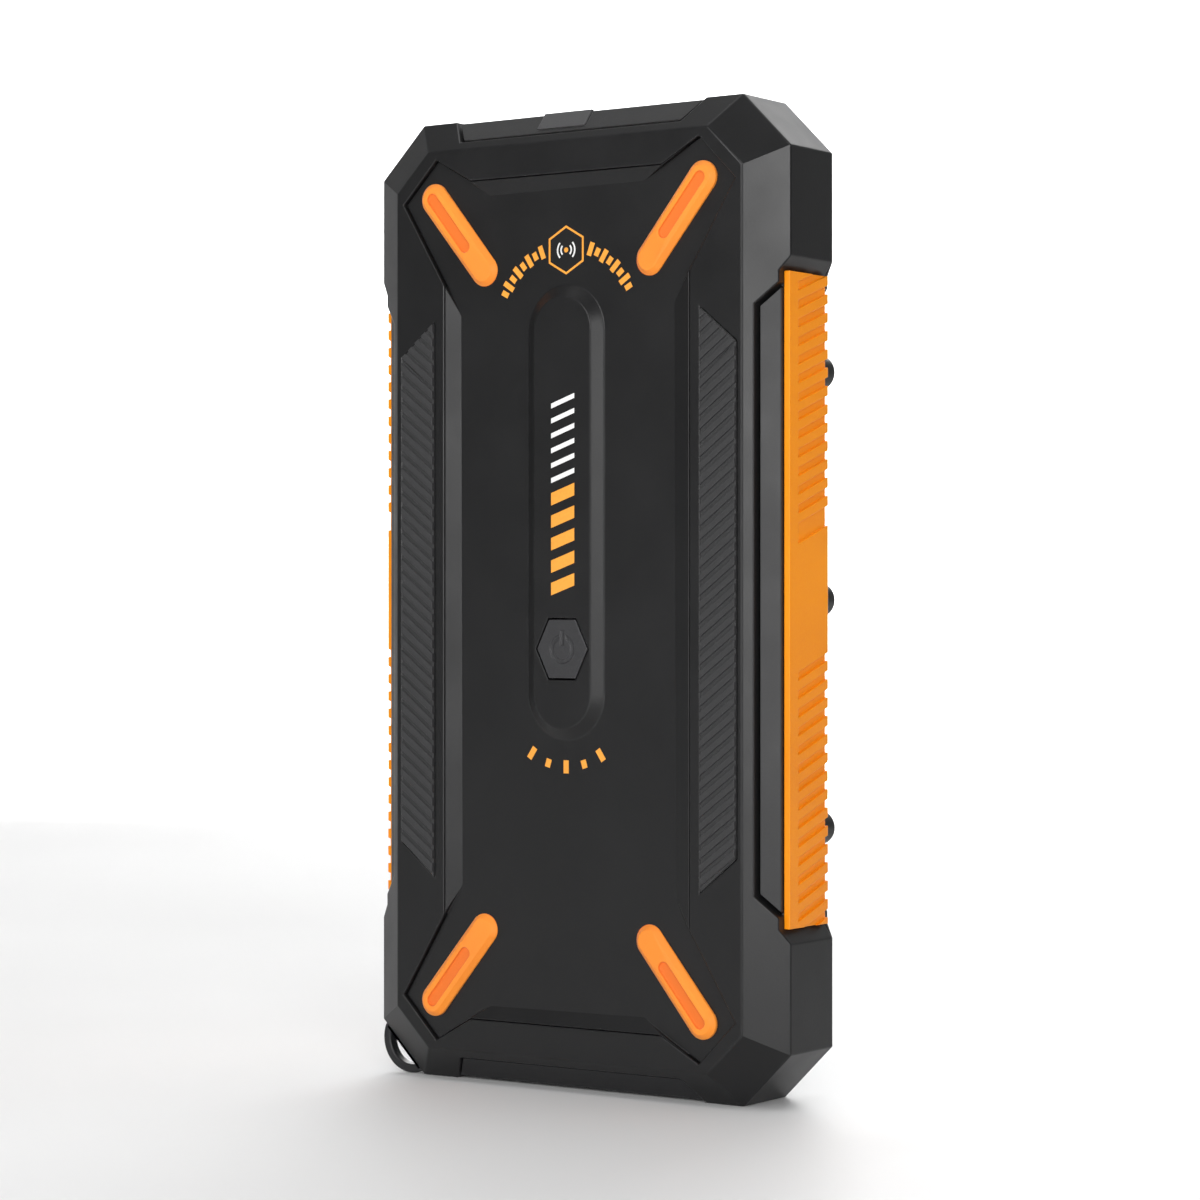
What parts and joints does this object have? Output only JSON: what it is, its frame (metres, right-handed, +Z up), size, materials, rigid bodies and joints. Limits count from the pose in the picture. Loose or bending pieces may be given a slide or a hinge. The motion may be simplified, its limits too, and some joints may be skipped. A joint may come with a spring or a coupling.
{
  "type": "solar phone charger",
  "caption": "Rugged slab-shaped solar power bank with a wireless charging face, a solar face, orange side strips and a hinged rubber port cover.",
  "frame": {"origin": "middle of the bottom end, on the surface that the charger stands on", "axes": "+Z up along the height; -Y out of the wireless charging face; +Y out of the solar face; +X towards the side wall without the charge indicator"},
  "size_m": [0.076, 0.0206, 0.15],
  "materials": {
    "shell": "fine-grained moulded black plastic",
    "rail": "moulded dark grey plastic",
    "strip": "moulded orange plastic with slanting ribs",
    "panel": "fine-grained moulded black plastic",
    "grip": "ribbed black rubber",
    "pad": "soft orange rubber",
    "button": "textured grey plastic cap",
    "plated_steel": "nickel-plated steel",
    "circuit_board": "green solder mask",
    "cover_rubber": "black silicone rubber",
    "pull_tab": "grey silicone rubber",
    "socket_tongue": "orange moulded plastic",
    "chip": "black moulded package",
    "capacitor": "brown ceramic",
    "pouch_foil": "aluminium laminate pouch",
    "nickel": "nickel strip",
    "foam": "closed-cell foam",
    "copper": "enamelled copper wire",
    "ferrite": "dark grey ferrite",
    "solar_board": "black laminate",
    "solar_cell": "dark blue-black silicon",
    "ribbon": "tinned copper ribbon",
    "clear_window": "clear hard resin",
    "gasket": "black silicone",
    "screw": "black-oxide steel",
    "insert": "turned brass",
    "bezel": "black plastic",
    "torch_lens": "clear lens",
    "reflector": "metallised plastic",
    "led": "phosphor-coated emitter",
    "indicator": "satin grey plastic",
    "indicator_light": "cool white light pipe",
    "loop": "black nylon",
    "lead": "red insulated wire"
  },
  "bodies": {
    "housing": {"front_shell": "shell", "rear_frame": "shell", "side_rail_left": "rail", "side_rail_right": "rail", "side_strip_left": "strip", "side_strip_right": "strip", "charging_panel": "panel", "grip_left": "grip", "grip_right": "grip", "pad_upper_left": "pad", "pad_upper_right": "pad", "pad_lower_left": "pad", "pad_lower_right": "pad", "button_switch": "plated_steel", "switch_board": "circuit_board", "cover_hinge_pin": "plated_steel", "main_board": "circuit_board", "usb_a_shell_left": "plated_steel", "usb_a_shell_right": "plated_steel", "usb_a_tongue_left": "socket_tongue", "usb_a_tongue_right": "socket_tongue", "usb_c_shell": "plated_steel", "usb_c_tongue": "chip", "controller_chip": "chip", "power_inductors": "ferrite", "filter_capacitors": "capacitor", "battery_cell_front": "pouch_foil", "battery_cell_rear": "pouch_foil", "cell_tabs": "nickel", "protection_board": "circuit_board", "battery_foam": "foam", "charging_coil": "copper", "ferrite_sheet": "ferrite", "solar_board": "solar_board", "solar_cells": "solar_cell", "cell_ribbons": "ribbon", "solar_window": "clear_window", "window_gasket": "gasket", "shell_gasket": "gasket", "corner_screws": "screw", "side_screws": "screw", "screw_inserts": "insert", "torch_bezel": "bezel", "torch_lens": "torch_lens", "torch_reflector": "reflector", "torch_leds": "led", "torch_board": "circuit_board", "indicator_plate": "indicator", "indicator_leds": "indicator_light", "indicator_board": "circuit_board", "lanyard_loop": "loop", "battery_leads": "lead", "solar_leads": "lead"},
    "button": {"power_button": "button"},
    "cover": {"port_cover": "cover_rubber", "cover_pull_tab": "pull_tab"}
  },
  "joints": [
    {"name": "button_press", "type": "slide", "parent": "housing", "child": "button", "axis": [0, 1, 0], "range_m": [0, 0.0005], "stiffness_N_per_m": 3000},
    {"name": "cover_swing", "type": "hinge", "parent": "housing", "child": "cover", "pos_m": [0, 0.00525, 0.1487], "axis": [-1, 0, 0], "range_deg": [0, 100]}
  ]
}
